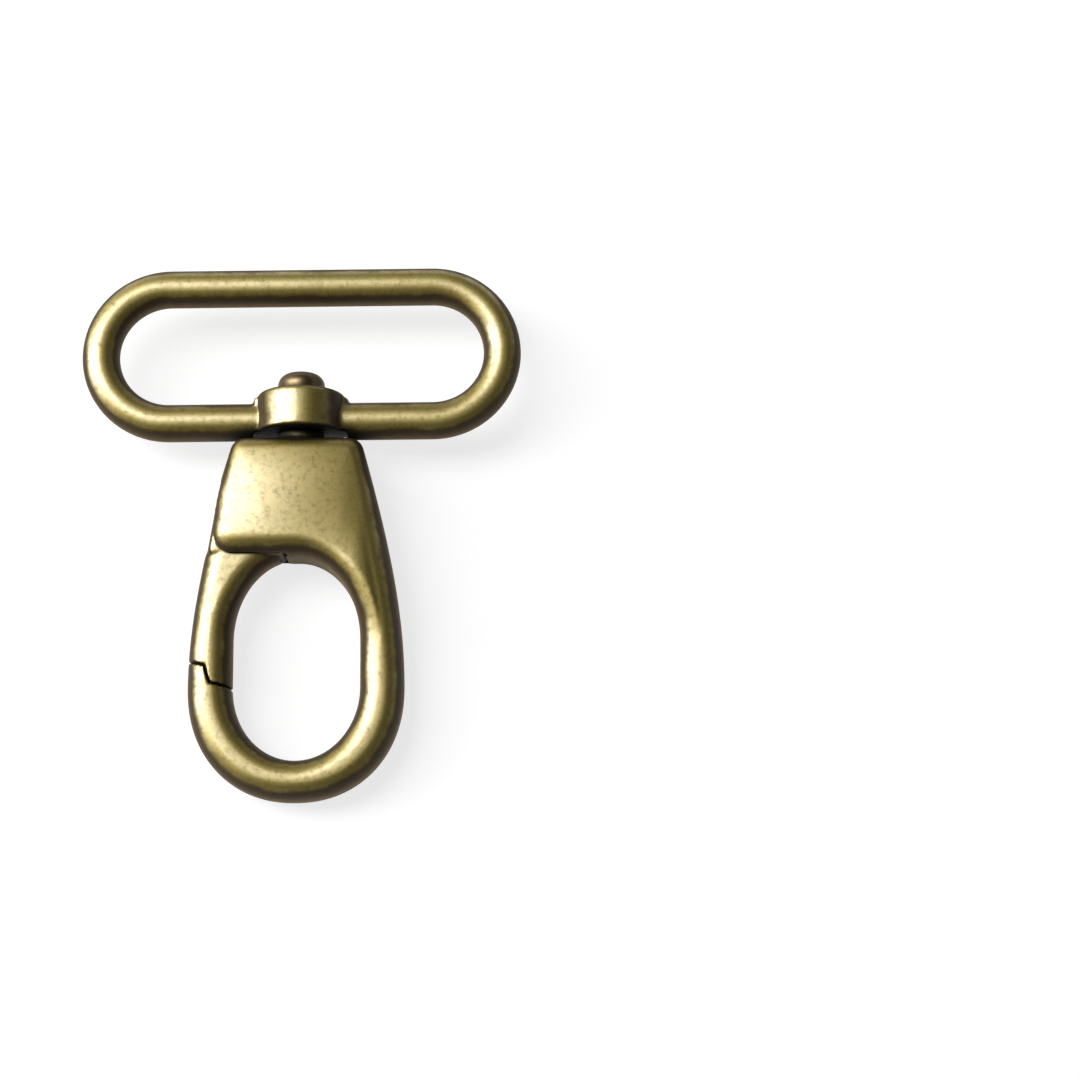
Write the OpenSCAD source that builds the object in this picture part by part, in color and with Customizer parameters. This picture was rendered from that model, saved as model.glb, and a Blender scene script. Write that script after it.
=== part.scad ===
// Swivel snap hook with an inward-opening push gate and a flat oval loop for a strap.
// It lies on its back: +X to the right, +Y towards the strap loop, +Z up, millimetres.
// Shapes are drawn flat first, with the swivel's axis on Y and the head's top face at Y = 0.
// lying() then tips them until the swivel's collar and the hook's heel both meet the table.

/* [Strap loop] */
// Width of the strap that the loop takes
strap_w = 38.1; // [25:0.1:60]
// Clear height between the loop's two long bars
loop_gap = 10.7; // [8:0.1:16]
// Diameter of the loop's round wire
wire_d = 3.9; // [3:0.1:4.4]

/* [Swivel] */
// Diameter of the collar in the middle of the loop's lower bar
collar_d = 9.9; // [9:0.1:12]
// Height of the collar along the swivel's axis
collar_h = 4.2; // [4:0.1:6]
// Rounding of the collar's upper edge
collar_edge_r = 0.55; // [0.2:0.05:1.2]
// Depth that the collar's round body lies behind the two lugs that carry the bars
collar_lug = 0.35; // [0.1:0.05:0.6]
// Width of those lugs
lug_w = 3; // [2:0.1:3.6]
// Diameter of the raised seat that the collar turns on
seat_d = 5.8; // [5:0.1:7.5]
// Height of that seat above the head's top face
seat_h = 0.8; // [0.4:0.1:1.5]
// Diameter of the rivet's head
rivet_head_d = 4.9; // [4.2:0.1:6.5]
// Height of the rivet's head
rivet_head_h = 2.2; // [1.4:0.1:3]
// Diameter of the rivet's shank
rivet_d = 3.2; // [2.4:0.1:3.6]
// Depth of the rivet's shank in the head
rivet_grip = 3; // [2:0.1:3.6]

/* [Head] */
// Width of the head's top face
head_w = 13.05; // [12:0.05:15]
// Length of the head from its top face to the eye
head_l = 12.5; // [12.2:0.1:14]
// Thickness of the head
head_t = 7.6; // [7.4:0.1:8]
// Slope of the head's sides where they leave the top face, in degrees
head_flare = 15; // [8:1:20]
// Corner radius at each end of the top face, seen from the front
head_corner_r = 1.6; // [0.8:0.1:1.8]
// Corner radius of the pad's free lower corner, over the gate
pad_corner_r = 2.3; // [1.8:0.1:2.8]
// Distance that the pad's edge lies inside the gate's outer side
pad_inset = 0.3; // [0:0.05:0.6]
// Rise of the pad's crown between its rounded edges
pad_crown = 0.4; // [0:0.05:0.7]
// Distance of the hook's centre line from the swivel's axis
hook_shift = -0.22; // [-0.6:0.02:0.6]

/* [Eye] */
// Width of the eye
eye_w = 13; // [11:0.1:15]
// Length of the eye
eye_l = 20.8; // [19:0.1:26]
// Height of the arch at the eye's upper end
arch_h = 8.4; // [7.5:0.1:9.5]
// Height of the bowl at the eye's lower end
bowl_h = 7.5; // [6:0.1:8.5]
// Width of the bars on both sides of the eye
bar_w = 4.5; // [4.3:0.1:5.2]
// Width of the heel below the eye
heel_w = 4.2; // [4:0.1:5.2]
// Thickness of the bars and the heel
bar_t = 5.2; // [5:0.1:6]
// Rounding of the long edges
edge_r = 2.1; // [1.4:0.1:2.1]

/* [Gate] */
// Width of the slot in the head that the gate's root turns in
slot_w = 5; // [4.6:0.1:5.4]
// Clearance of the gate's root at the slot's sides and at its end
slot_play = 0.15; // [0.1:0.01:0.25]
// Distance of the gate's pin from the hook's centre line
pin_x = 5.8; // [5.4:0.1:6]
// Depth of the gate's pin below the head's top face
pin_y = 8.2; // [7.8:0.1:8.6]
// Diameter of the gate's pin
pin_d = 1.8; // [1.4:0.1:2]
// Running clearance round the pin, on the radius
pin_play = 0.06; // [0.03:0.01:0.1]
// Depth of the pin's blind hole in the front cheek
pin_bite = 0.8; // [0.4:0.1:1]
// Radius of the round root of the gate
root_r = 3; // [2.8:0.1:3.1]
// Rounding of the tail at the gate's inner side, under the head
tail_r = 0.8; // [0.5:0.1:1]
// Depth of the lap joint's outer edge below the head's top face
lap_y = 23.3; // [22:0.1:24]
// Length of the nose's lip, which laps over the gate's tongue
lip_l = 2.3; // [1.8:0.1:2.6]
// Thickness of the lip at its tip
lip_w = 1.75; // [1.4:0.05:1.9]
// Thickness of the lip at its foot
lip_foot_w = 2.3; // [2:0.1:2.5]
// Slope of the lip's tip, which lets the gate's shoulder turn past it, in degrees
lip_slope = 16; // [15:1:20]
// Slope of the ledge under the tongue, in degrees
ledge_slope = 11; // [10:1:16]
// Gap along the closed lap joint
lap_gap = 0.15; // [0.14:0.01:0.25]

/* [Spring] */
// Diameter of the torsion spring's wire
spring_wire = 0.5; // [0.4:0.05:0.55]
// Mean radius of the spring's coil
spring_r = 1.5; // [1.4:0.05:1.7]
// Whole turns of the coil
spring_turns = 3; // [2:1:3]
// Pitch of the coil, in wire diameters
coil_pitch = 1.15; // [1.05:0.01:1.25]
// Length of the spring's leg in the gate
spring_leg = 4; // [3:0.1:5]
// Direction of the spring's fixed leg, in degrees from the hook's cross axis
leg_deg = 5; // [0:1:10]

/* [Hidden] */
brass = [0.60, 0.51, 0.28];
worn_steel = [0.56, 0.53, 0.46];
spring_steel = [0.45, 0.45, 0.46];

turned_fn = 64;
wire_fn = 48;
small_fn = 32;
arc_step = 15;
edge_steps = 5;
crown_steps = 4;
nose_steps = 3;
heel_steps = 26;
flank_steps = 16;
corner_steps = 5;
top_steps = 5;
pad_steps = 7;
gate_steps = 24;
spring_sides = 8;
// Squareness of the heel's outline: 2 is an ellipse, more is fuller
heel_power = 2.15;
// Depth of a long edge's rounding against its width
edge_depth = 1.1;
// Least half height of the upright wall between a front and a back edge
edge_land = 0.2;
// Least width that both roundings leave on a bar
bar_land = 0.1;
// Plateau width at which the pad's crown reaches its full height
crown_span = 8;
// Running clearance of the collar on the seat, under the rivet's head and round its shank
swivel_play = 0.06;
// Clearance between the loop's bars and the head's top face
bar_lift = 0.25;
// Clearance of a pressed pin or rivet in its hole
press_play = 0.01;
// Clearance of the gate's root at the top of the slot
root_play = 0.4;
// Clearance along the coil, round it and round the spring's legs
coil_play = 0.4;
coil_room = 0.6;
leg_play = 0.1;
// Flare at the foot of the rivet's head, and the rounding of its rim
rivet_foot_w = 0.15;
rivet_foot_h = 0.3;
rivet_rim_r = 1.3;
// Share of each flank over which the bar grows into the head
swell_start = 0.05;
swell_end = 0.75;
// Share of the flank at which its outer edge starts to sharpen towards the head's corner
sharp_start = 0.5;
// Angle on the eye's arch up to which the flank reaches, and the share of the head's ring above it
arch_stop = 72;
arch_share = 0.3;
// Angle on the eye's arch at which the gate's tail ends
tail_deg = 104;
// Height of the root's flat plate over the gate's rounded bar, and the length over which it grows
root_step = 0.05;
root_share = 0.25;
// Distance of that plate's tail above the eye's arch
tail_lift = 0.5;
// Depths below the head between which the gate narrows to the slot's width
waist_high = 2.5;
waist_low = 6;
// Overlap of the pad's lower edge with the gate's side of the eye, and its least width there
pad_join = 1;
pad_join_w = 0.5;
// A cutter's length past what it cuts, and the reach of the lap joint's cutters past the bar
over = 20;
lap_reach = 2;
trim = 1;

// Levels down the hook, from the head's top face
arch_y = -head_l - arch_h;
bowl_y = -head_l - eye_l + bowl_h;
heel_y = -head_l - eye_l - heel_w;
hook_w = eye_w + 2 * bar_w;
bowl_out_h = bowl_h + heel_w;
heel_mid_y = heel_y + heel_w / 2;

// Levels up the swivel
collar_y = seat_h + swivel_play;
collar_top_y = collar_y + collar_h;
rivet_head_y = collar_top_y + swivel_play;
loop_bar_y = bar_lift + wire_d / 2;
loop_end_r = (loop_gap + wire_d) / 2;
loop_mid_y = loop_bar_y + loop_end_r;
loop_end_x = (strap_w + wire_d) / 2 - loop_end_r;

// The pose at rest: the collar's lower edge and the heel's back both touch the table
lie_tilt = atan((collar_d - bar_t) / 2 / (collar_y - heel_mid_y));
lie_z = collar_d / 2 * cos(lie_tilt) - collar_y * sin(lie_tilt);
far_y = (loop_mid_y + loop_end_r) * cos(lie_tilt) + wire_d / 2;
near_y = heel_y * cos(lie_tilt);
lie_y = -(far_y + near_y) / 2;

function lerp(a, b, t) = a + (b - a) * t;
function ease(t) = let (u = min(1, max(0, t))) u * u * (3 - 2 * u);
function bezier(p0, p1, p2, p3, t) =
    pow(1 - t, 3) * p0 + 3 * t * pow(1 - t, 2) * p1 + 3 * t * t * (1 - t) * p2 + pow(t, 3) * p3;
function round_pt(c, r, a) = c + r * [cos(a), sin(a)];

// The eye's outline: an arch, two straight sides and a bowl
function arch_pt(a) = [eye_w / 2 * cos(a), arch_y + arch_h * sin(a)];
function bowl_pt(a) = [eye_w / 2 * cos(a), bowl_y + bowl_h * sin(a)];
function eye_x(y) =
    y < bowl_y ? eye_w / 2 * sqrt(1 - pow((bowl_y - y) / bowl_h, 2)) : eye_w / 2;

// The hook's outer side: a long curve from the widest place up to the head's top corner
side_pull = -bowl_y / 3;
side_foot = [hook_w / 2, bowl_y];
side_top = [head_w / 2, 0];
function side_curve(t) =
    bezier(side_foot, side_foot + [0, side_pull],
           side_top + side_pull * [tan(head_flare), -1], side_top, t);
function heel_x(y) =
    hook_w / 2 * pow(1 - pow((bowl_y - y) / bowl_out_h, heel_power), 1 / heel_power);
function side_x(y) = y < bowl_y ? heel_x(y) : side_curve(1 - y / bowl_y)[0];
function heel_pt(a) =
    [hook_w / 2 * sign(cos(a)) * pow(abs(cos(a)), 2 / heel_power),
     bowl_y - bowl_out_h * pow(abs(sin(a)), 2 / heel_power)];

// The head's corners, where the sides run into the top face
corner_t = 1 - head_corner_r * (1 - sin(head_flare)) / -bowl_y;
corner_foot = side_curve(corner_t);
corner_mid = [corner_foot[0] - head_corner_r * cos(head_flare), -head_corner_r];

// The pad's free edge, down the left to its rounded corner and back to the eye
pad_low_y = -head_l + pad_corner_r;
pad_x = side_x(pad_low_y) - pad_inset;
pad_pull = (corner_foot[1] - pad_low_y) / 3;
pad_top = [-corner_foot[0], corner_foot[1]];
pad_foot = [-pad_x, pad_low_y];
pad_corner_mid = [-pad_x + pad_corner_r, pad_low_y];
pad_join_x = -eye_w / 2 + pad_join;
function pad_curve(t) =
    bezier(pad_top, pad_top - pad_pull * [sin(head_flare), cos(head_flare)],
           pad_foot + [0, pad_pull], pad_foot, t);

// One station across a bar: inner point, outer point, half thickness, inner and outer rounding
function bar_edge(width) = min(edge_r, (width - bar_land) / 2);
head_stations = 2 * corner_steps + top_steps + pad_steps + corner_steps + 1;
function flank_in(s) =
    let (bend = (arch_y - bowl_y) / -bowl_y)
    s < bend ? [eye_w / 2, lerp(bowl_y, arch_y, s / bend)]
             : arch_pt(arch_stop * (s - bend) / (1 - bend));
function head_in(s) =
    s < arch_share ? arch_pt(lerp(arch_stop, 90, s / arch_share))
                   : [lerp(0, pad_join_x + pad_join_w, (s - arch_share) / (1 - arch_share)), -head_l];
top_edge_r = head_corner_r - bar_land;
pad_edge_r = min(edge_r, pad_corner_r - bar_land);
nose_start_y = -lap_y + lap_gap;
nose_ys = [for (k = [0:nose_steps - 1]) lerp(nose_start_y, bowl_y, k / nose_steps)];

nose_stations = [for (y = nose_ys)
    [[-eye_x(y), y], [-side_x(y), y], bar_t / 2, bar_edge(bar_w), bar_edge(bar_w)]];
heel_stations = [for (k = [0:heel_steps - 1])
    let (a = 180 + 180 * k / heel_steps,
         e = lerp(bar_edge(bar_w), bar_edge(heel_w), pow(sin(a), 2)))
    [bowl_pt(a), heel_pt(a), bar_t / 2, e, e]];
flank_stations = [for (k = [0:flank_steps])
    let (s = k / flank_steps,
         swell = ease((s - swell_start) / (swell_end - swell_start)))
    [flank_in(s), side_curve(corner_t * s), lerp(bar_t, head_t, swell) / 2,
     lerp(bar_edge(bar_w), pad_edge_r, swell),
     lerp(bar_edge(bar_w), top_edge_r, ease((s - sharp_start) / (1 - sharp_start)))]];
head_out = concat(
    [for (k = [1:corner_steps])
        round_pt(corner_mid, head_corner_r, lerp(head_flare, 90, k / corner_steps))],
    [for (k = [1:top_steps]) [lerp(corner_mid[0], -corner_mid[0], k / top_steps), 0]],
    [for (k = [1:corner_steps])
        round_pt([-corner_mid[0], corner_mid[1]], head_corner_r,
                 lerp(90, 180 - head_flare, k / corner_steps))],
    [for (k = [1:pad_steps]) pad_curve(k / pad_steps)],
    [for (k = [1:corner_steps])
        round_pt(pad_corner_mid, pad_corner_r, lerp(180, 270, k / corner_steps))],
    [[pad_join_x, -head_l]]);
top_count = 2 * corner_steps + top_steps;
head_ring = [for (k = [1:head_stations])
    [head_in(k / head_stations), head_out[k - 1], head_t / 2, pad_edge_r,
     lerp(top_edge_r, pad_edge_r, ease((k - top_count) / pad_steps))]];
hook_stations = concat(nose_stations, heel_stations, flank_stations, head_ring);

// The gate's stations, from its root down to its tip; its sides are the hook's own sides
pin_at = [-pin_x, -pin_y];
gate_t = slot_w - 2 * slot_play;
tip_y = -lap_y - lip_l - trim;
join_y = -head_l;
tail_mid = arch_pt(tail_deg) + (tail_r + tail_lift) * [cos(tail_deg), sin(tail_deg)];
function gate_out(y) =
    [-lerp(side_x(y), pin_x + root_r, ease((y - join_y) / (-pin_y - join_y))), y];
gate_bend = (arch_y - tip_y) / (-pin_y - tip_y);
function gate_in(s) =
    s < gate_bend ? let (y = lerp(tip_y, arch_y, s / gate_bend)) [-eye_x(y), y]
                  : arch_pt(lerp(180, tail_deg, (s - gate_bend) / (1 - gate_bend)));
function gate_half(y) =
    lerp(bar_t, gate_t, ease((y + head_l + waist_low) / (waist_low - waist_high))) / 2;
gate_stations = [for (k = [0:gate_steps])
    let (s = 1 - k / gate_steps, y = lerp(tip_y, -pin_y, s))
    [gate_in(s), gate_out(y), gate_half(y) - root_step * ease((s - 1) / root_share + 1),
     bar_edge(bar_w), bar_edge(bar_w)]];

// The slot is as deep as the gate's tail swings
slot_r = norm(arch_pt(tail_deg) - pin_at) + slot_play;
slot_top = root_r + root_play;
coil_h = spring_turns * spring_wire * coil_pitch;
fork_w = coil_h + spring_wire + coil_play;
fork_r = spring_r + spring_wire / 2 + coil_room;

// Unit normal at point k of an open line, on its left where side is 1 and right where it is -1
function line_normal(line, k, side) =
    let (d = line[min(k + 1, len(line) - 1)] - line[max(k - 1, 0)], u = d / norm(d))
    side * [-u[1], u[0]];

// Front points of one rounded edge, from its wall to the plateau's own slope
function edge_points(p, n, r, half, slope) =
    let (depth = min(edge_depth * r, half - edge_land))
    [for (k = [0:edge_steps])
        let (a = (90 - slope) * k / edge_steps, q = p + n * r * (1 - cos(a)))
        [q[0], q[1], half - depth * (1 - sin(a))]];

// Points over the front of station k, from its inner to its outer edge
function front_points(st, inner, outer, k, crown) =
    let (na = line_normal(inner, k, -1),
         nb = line_normal(outer, k, 1),
         span = norm(outer[k] + nb * st[k][4] - inner[k] - na * st[k][3]),
         rise = crown * pow(min(1, span / crown_span), 2),
         slope = atan(PI * rise / span),
         a = edge_points(inner[k], na, st[k][3], st[k][2], slope),
         b = edge_points(outer[k], nb, st[k][4], st[k][2], slope),
         pa = a[edge_steps],
         pb = b[edge_steps])
    concat(a,
           [for (j = [1:crown_steps - 1])
               lerp(pa, pb, j / crown_steps) + [0, 0, rise * sin(180 * j / crown_steps)]],
           [for (j = [edge_steps:-1:0]) b[j]]);

// Triangles that close a ring of front points f against its own other half
function zip_cap(f, n) =
    [for (k = [0:floor(n / 2) - 1])
        each [[f[k], f[k + 1], f[n - 1 - k]],
              if (k + 1 < n - 2 - k) [f[k + 1], f[n - 2 - k], f[n - 1 - k]]]];
function flipped(tris) = [for (t = tris) [t[0], t[2], t[1]]];

// A bar or plate with rounded long edges, alike at the front and the back
module rounded_bar(st, crown = 0) {
    inner = [for (s = st) s[0]];
    outer = [for (s = st) s[1]];
    n = 2 * edge_steps + crown_steps + 1;
    last = len(st) - 1;
    fronts = [for (k = [0:last]) front_points(st, inner, outer, k, crown)];
    points = [for (f = fronts) each concat(f, [for (j = [n - 1:-1:0]) [f[j][0], f[j][1], -f[j][2]]])];
    skin = [for (k = [0:last - 1], j = [0:2 * n - 1])
        let (a = k * 2 * n + j, b = k * 2 * n + (j + 1) % (2 * n))
        each [[a, a + 2 * n, b], [b, a + 2 * n, b + 2 * n]]];
    start_f = [for (j = [0:n - 1]) j];
    start_b = [for (j = [0:n - 1]) 2 * n - 1 - j];
    end_f = [for (j = start_f) j + last * 2 * n];
    end_b = [for (j = start_b) j + last * 2 * n];
    caps = concat(
        zip_cap(start_f, n), flipped(zip_cap(start_b, n)),
        [[start_f[0], start_f[n - 1], start_b[n - 1]], [start_f[0], start_b[n - 1], start_b[0]]],
        flipped(zip_cap(end_f, n)), zip_cap(end_b, n),
        [[end_f[0], end_b[n - 1], end_f[n - 1]], [end_f[0], end_b[0], end_b[n - 1]]]);
    polyhedron(points = points, faces = concat(skin, caps), convexity = 6);
}

module lying() {
    translate([0, lie_y, lie_z]) rotate([lie_tilt, 0, 0]) children();
}

// Places what turns about the swivel's axis: its own Z becomes the hook's Y
module on_swivel() {
    rotate([-90, 0, 0]) children();
}

// The stepped line of the lap joint, grown by gap on the gate's side
function lap_line(gap) =
    let (x = -side_x(-lap_y), tip = x + lip_w + gap, foot = x + lip_foot_w + gap,
         high = -lap_y + gap, low = high - lip_l)
    [[x - lap_reach, high + lap_reach * tan(lip_slope)], [tip, high - lip_w * tan(lip_slope)],
     [foot, low], [0, low + foot * tan(ledge_slope)]];
lap_out_x = -side_x(-lap_y) - lap_reach;

module slot_shape() {
    intersection() {
        union() {
            circle(r = slot_r, $fn = turned_fn);
            translate([-slot_r, -slot_r]) square([slot_r, 2 * slot_r]);
        }
        translate([-over, -over]) square([2 * over, over + slot_top]);
    }
}

module hook_body() {
    color(brass) lying() difference() {
        union() {
            translate([hook_shift, 0, 0]) rounded_bar(hook_stations, pad_crown);
            translate([0, seat_h, 0]) on_swivel() mirror([0, 0, 1])
                cylinder(d = seat_d, h = seat_h + head_corner_r, $fn = turned_fn);
        }
        translate([0, seat_h + trim, 0]) on_swivel() mirror([0, 0, 1])
            cylinder(d = rivet_d, h = rivet_grip + seat_h + trim, $fn = turned_fn);
        translate([hook_shift, 0, 0]) {
            linear_extrude(bar_t + trim, center = true)
                polygon(concat(lap_line(0), [[0, trim - lap_y], [lap_out_x, trim - lap_y]]));
            translate(pin_at) linear_extrude(slot_w, center = true) slot_shape();
            translate([pin_at[0], pin_at[1], -head_t])
                cylinder(d = pin_d, h = head_t + slot_w / 2 + pin_bite, $fn = turned_fn);
        }
    }
}

// The root's plate between the cheeks: round at the pin, with a tail along the eye's arch
module root_shape() {
    hull() {
        translate(pin_at) circle(r = root_r, $fn = turned_fn);
        translate(tail_mid) circle(r = tail_r, $fn = small_fn);
        translate([-side_x(join_y) + tail_r + pad_inset, join_y + tail_r])
            circle(r = tail_r, $fn = small_fn);
    }
}

module gate() {
    color(brass) lying() translate([hook_shift, 0, 0]) difference() {
        union() {
            rounded_bar(gate_stations);
            linear_extrude(gate_t, center = true) root_shape();
        }
        linear_extrude(bar_t + trim, center = true)
            polygon(concat(lap_line(lap_gap), [[0, tip_y - over], [lap_out_x, tip_y - over]]));
        translate([pin_at[0], pin_at[1], 0]) {
            linear_extrude(fork_w, center = true) {
                circle(r = fork_r, $fn = turned_fn);
                translate([0, -spring_r]) square([slot_r, spring_r + root_r + trim]);
                translate([-spring_r - spring_wire / 2 - leg_play, -spring_leg - leg_play])
                    square([spring_wire + 2 * leg_play, spring_leg]);
            }
            cylinder(r = pin_d / 2 + pin_play, h = over, center = true, $fn = turned_fn);
        }
    }
}

module gate_pin() {
    front = slot_w / 2 + pin_bite - press_play;
    back = -head_t / 2;
    color(worn_steel) lying() translate([hook_shift + pin_at[0], pin_at[1], back])
        cylinder(r = pin_d / 2 - press_play, h = front - back, $fn = turned_fn);
}

// The torsion spring: a leg in the gate, the coil round the pin, a leg against the head
coil_end = 90 + leg_deg;
coil_span = 180 - coil_end + 360 * spring_turns;
fixed_leg = sqrt(pow(slot_r - leg_play, 2) - pow(spring_r, 2));
spring_path = concat(
    [[-spring_r, -spring_leg, -coil_h / 2]],
    [for (a = [0:arc_step:coil_span])
        [spring_r * cos(180 - a), spring_r * sin(180 - a), coil_h * (a / coil_span - 0.5)]],
    [[spring_r * cos(coil_end) + fixed_leg * cos(leg_deg),
      spring_r * sin(coil_end) + fixed_leg * sin(leg_deg), coil_h / 2]]);

module gate_spring() {
    last = len(spring_path) - 1;
    n = spring_sides;
    points = [for (k = [0:last])
        let (d = spring_path[min(k + 1, last)] - spring_path[max(k - 1, 0)],
             side = [-d[1], d[0], 0] / norm([d[0], d[1]]))
        each [for (j = [0:n - 1])
            spring_path[k] + spring_wire / 2 * (cos(360 * j / n) * side + [0, 0, sin(360 * j / n)])]];
    skin = [for (k = [0:last - 1], j = [0:n - 1])
        let (a = k * n + j, b = k * n + (j + 1) % n)
        each [[a, b, a + n], [b, b + n, a + n]]];
    color(spring_steel) lying() translate([hook_shift + pin_at[0], pin_at[1], 0])
        polyhedron(points = points,
                   faces = concat(skin, [[for (j = [n - 1:-1:0]) j]],
                                  [[for (j = [0:n - 1]) last * n + j]]), convexity = 6);
}

module collar() {
    lug_r = collar_d / 2;
    body_r = lug_r - collar_lug;
    rotate_extrude($fn = turned_fn) polygon(concat(
        [[0, 0], [body_r, 0]],
        [for (a = [0:arc_step:90])
            [body_r - collar_edge_r * (1 - cos(a)), collar_h - collar_edge_r * (1 - sin(a))]],
        [[0, collar_h]]));
    intersection() {
        cylinder(r = lug_r, h = collar_h - collar_edge_r, $fn = turned_fn);
        translate([-over, -lug_w / 2, 0]) cube([2 * over, lug_w, collar_h]);
    }
}

module loop_bar(y) {
    translate([-loop_end_x, y, 0]) rotate([0, 90, 0])
        cylinder(d = wire_d, h = 2 * loop_end_x, $fn = wire_fn);
}

module swivel_ring() {
    color(brass) lying() difference() {
        union() {
            for (side = [-1, 1])
                translate([side * loop_end_x, loop_mid_y, 0]) rotate([0, 0, -90 * side])
                    rotate_extrude(angle = 180, $fn = turned_fn)
                        translate([loop_end_r, 0]) circle(d = wire_d, $fn = wire_fn);
            loop_bar(loop_bar_y);
            loop_bar(loop_mid_y + loop_end_r);
            translate([0, collar_y, 0]) on_swivel() collar();
        }
        translate([0, collar_y, 0]) on_swivel() {
            translate([0, 0, -trim])
                cylinder(r = rivet_d / 2 + swivel_play, h = collar_h + 2 * trim, $fn = turned_fn);
            mirror([0, 0, 1]) cylinder(d = collar_d, h = collar_y, $fn = turned_fn);
        }
    }
}

module swivel_rivet() {
    head_r = rivet_head_d / 2;
    shank_r = rivet_d / 2 - press_play;
    top = rivet_head_y + rivet_head_h;
    color(worn_steel) lying() on_swivel() rotate_extrude($fn = turned_fn) polygon(concat(
        [[0, -rivet_grip + press_play], [shank_r, -rivet_grip + press_play], [shank_r, rivet_head_y],
         [head_r + rivet_foot_w, rivet_head_y], [head_r, rivet_head_y + rivet_foot_h]],
        [for (a = [0:arc_step:90])
            [head_r - rivet_rim_r * (1 - cos(a)), top - rivet_rim_r * (1 - sin(a))]],
        [[0, top]]));
}

hook_body();
gate();
gate_pin();
gate_spring();
swivel_ring();
swivel_rivet();
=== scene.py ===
# A swivel snap hook in antique brass, lying on its back on a white table.
from math import atan, atan2, cos, pi, radians, sin, sqrt, tan

import bmesh
import bpy
import numpy as np
from mathutils import Euler, Matrix, Vector


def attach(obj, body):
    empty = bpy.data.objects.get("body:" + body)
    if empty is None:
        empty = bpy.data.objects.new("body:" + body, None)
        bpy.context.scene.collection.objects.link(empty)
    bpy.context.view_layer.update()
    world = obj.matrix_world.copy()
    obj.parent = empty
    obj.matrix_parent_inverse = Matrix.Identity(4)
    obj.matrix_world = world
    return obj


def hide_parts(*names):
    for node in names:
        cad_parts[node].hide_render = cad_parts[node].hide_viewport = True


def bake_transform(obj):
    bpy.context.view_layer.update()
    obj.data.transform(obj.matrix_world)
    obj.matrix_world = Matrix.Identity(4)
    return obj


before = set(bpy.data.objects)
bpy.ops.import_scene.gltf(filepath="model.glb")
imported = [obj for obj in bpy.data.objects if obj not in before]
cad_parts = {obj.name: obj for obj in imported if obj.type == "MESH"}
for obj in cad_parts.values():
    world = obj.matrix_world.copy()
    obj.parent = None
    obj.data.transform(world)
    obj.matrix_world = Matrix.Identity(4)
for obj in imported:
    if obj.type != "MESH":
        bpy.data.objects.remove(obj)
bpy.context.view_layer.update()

# Sizes are millimetres and degrees in the hook's own plane, with the swivel's axis on Y and the
# head's top at Y = 0. First the strap loop and its collar.
STRAP_W, LOOP_GAP, WIRE_D, BAR_LIFT, BAR_END_X = 38.1, 10.7, 3.9, 0.25, 3.0
COLLAR_D, COLLAR_H, COLLAR_EDGE_R, COLLAR_LUG, LUG_W = 9.9, 4.2, 0.55, 0.35, 3.0

# The seat and the rivet that the collar turns on. The rivet's foot is given as steps out from its
# head's radius and up from the head's underside.
SEAT_D, SEAT_H, SWIVEL_PLAY, PRESS_PLAY = 5.0, 0.8, 0.06, 0.01
RIVET_D, RIVET_GRIP, RIVET_HEAD_D, RIVET_HEAD_H, RIVET_RIM_R = 3.2, 3.0, 4.9, 2.2, 1.3
RIVET_FOOT = ((0.1, 0.0), (0.15, 0.06), (0.0, 0.3))

# The head, the pad on it, and the bow of its front and back
HEAD_W, HEAD_L, HEAD_T, HEAD_FLARE, HEAD_CORNER_R = 13.05, 12.5, 7.6, 15.0, 1.6
PAD_CORNER_R, PAD_INSET, PAD_JOIN, PAD_JOIN_W = 2.3, 0.3, 1.0, 0.5
PAD_CROWN, CROWN_SPAN, HOOK_SHIFT = 0.1, 8.0, -0.22
BOW_FROM, BOW_FULL, BOW_RISE, BOW_DROP = -22.0, -8.0, 0.26, 0.0105
BOW_LOW_X, BOW_HIGH_X, TOP_BOW_FROM, TOP_BOW_DROP = 5.0, -2.1, -5.0, 0.022

# The eye, the bars round it, and how they swell into the head
EYE_W, EYE_L, ARCH_H, BOWL_H = 13.0, 20.8, 8.4, 7.5
BAR_W, HEEL_W, BAR_T, HEEL_POWER = 4.5, 4.2, 5.2, 2.15
EDGE_R, EDGE_DEPTH, EDGE_LAND, BAR_LAND = 2.1, 1.1, 0.2, 0.1
SWELL_START, SWELL_END, SHARP_START, ARCH_STOP, ARCH_SHARE = 0.05, 0.75, 0.5, 72.0, 0.3

# The gate: its slot, its pin, its root and tail, and its lap with the nose
SLOT_W, SLOT_PLAY, ROOT_PLAY = 5.0, 0.15, 0.4
PIN_X, PIN_Y, PIN_D, PIN_PLAY, PIN_BITE, PIN_EDGE = 5.8, 8.2, 1.8, 0.06, 0.8, 0.15
ROOT_R, ROOT_TRIM, ROOT_STEP, ROOT_SHARE = 3.0, 0.3, 0.05, 0.25
ROOT_EDGE, ROOT_EDGE_DEPTH, ROOT_EDGE_FROM = 0.7, 1.0, 0.1
TAIL_R, TAIL_DEG, TAIL_LIFT, WAIST_HIGH, WAIST_LOW = 0.8, 104.0, 0.5, 2.5, 6.0
LAP_Y, LAP_GAP, LIP_L, LIP_W, LIP_FOOT_W = 23.3, 0.15, 2.3, 1.75, 2.3
LIP_SLOPE, LEDGE_SLOPE = 16.0, 11.0

# The spring
SPRING_WIRE, SPRING_R, SPRING_TURNS, SPRING_LEG, LEG_DEG = 0.5, 1.5, 3, 4.0, 5.0
COIL_PITCH, COIL_PLAY, COIL_ROOM, LEG_PLAY = 1.15, 0.4, 0.6, 0.1

# How far cutters reach past what they cut, and the hair that keeps two of their faces apart
OVER, LAP_REACH, TRIM, HAIR = 20.0, 2.0, 1.0, 0.007

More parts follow.
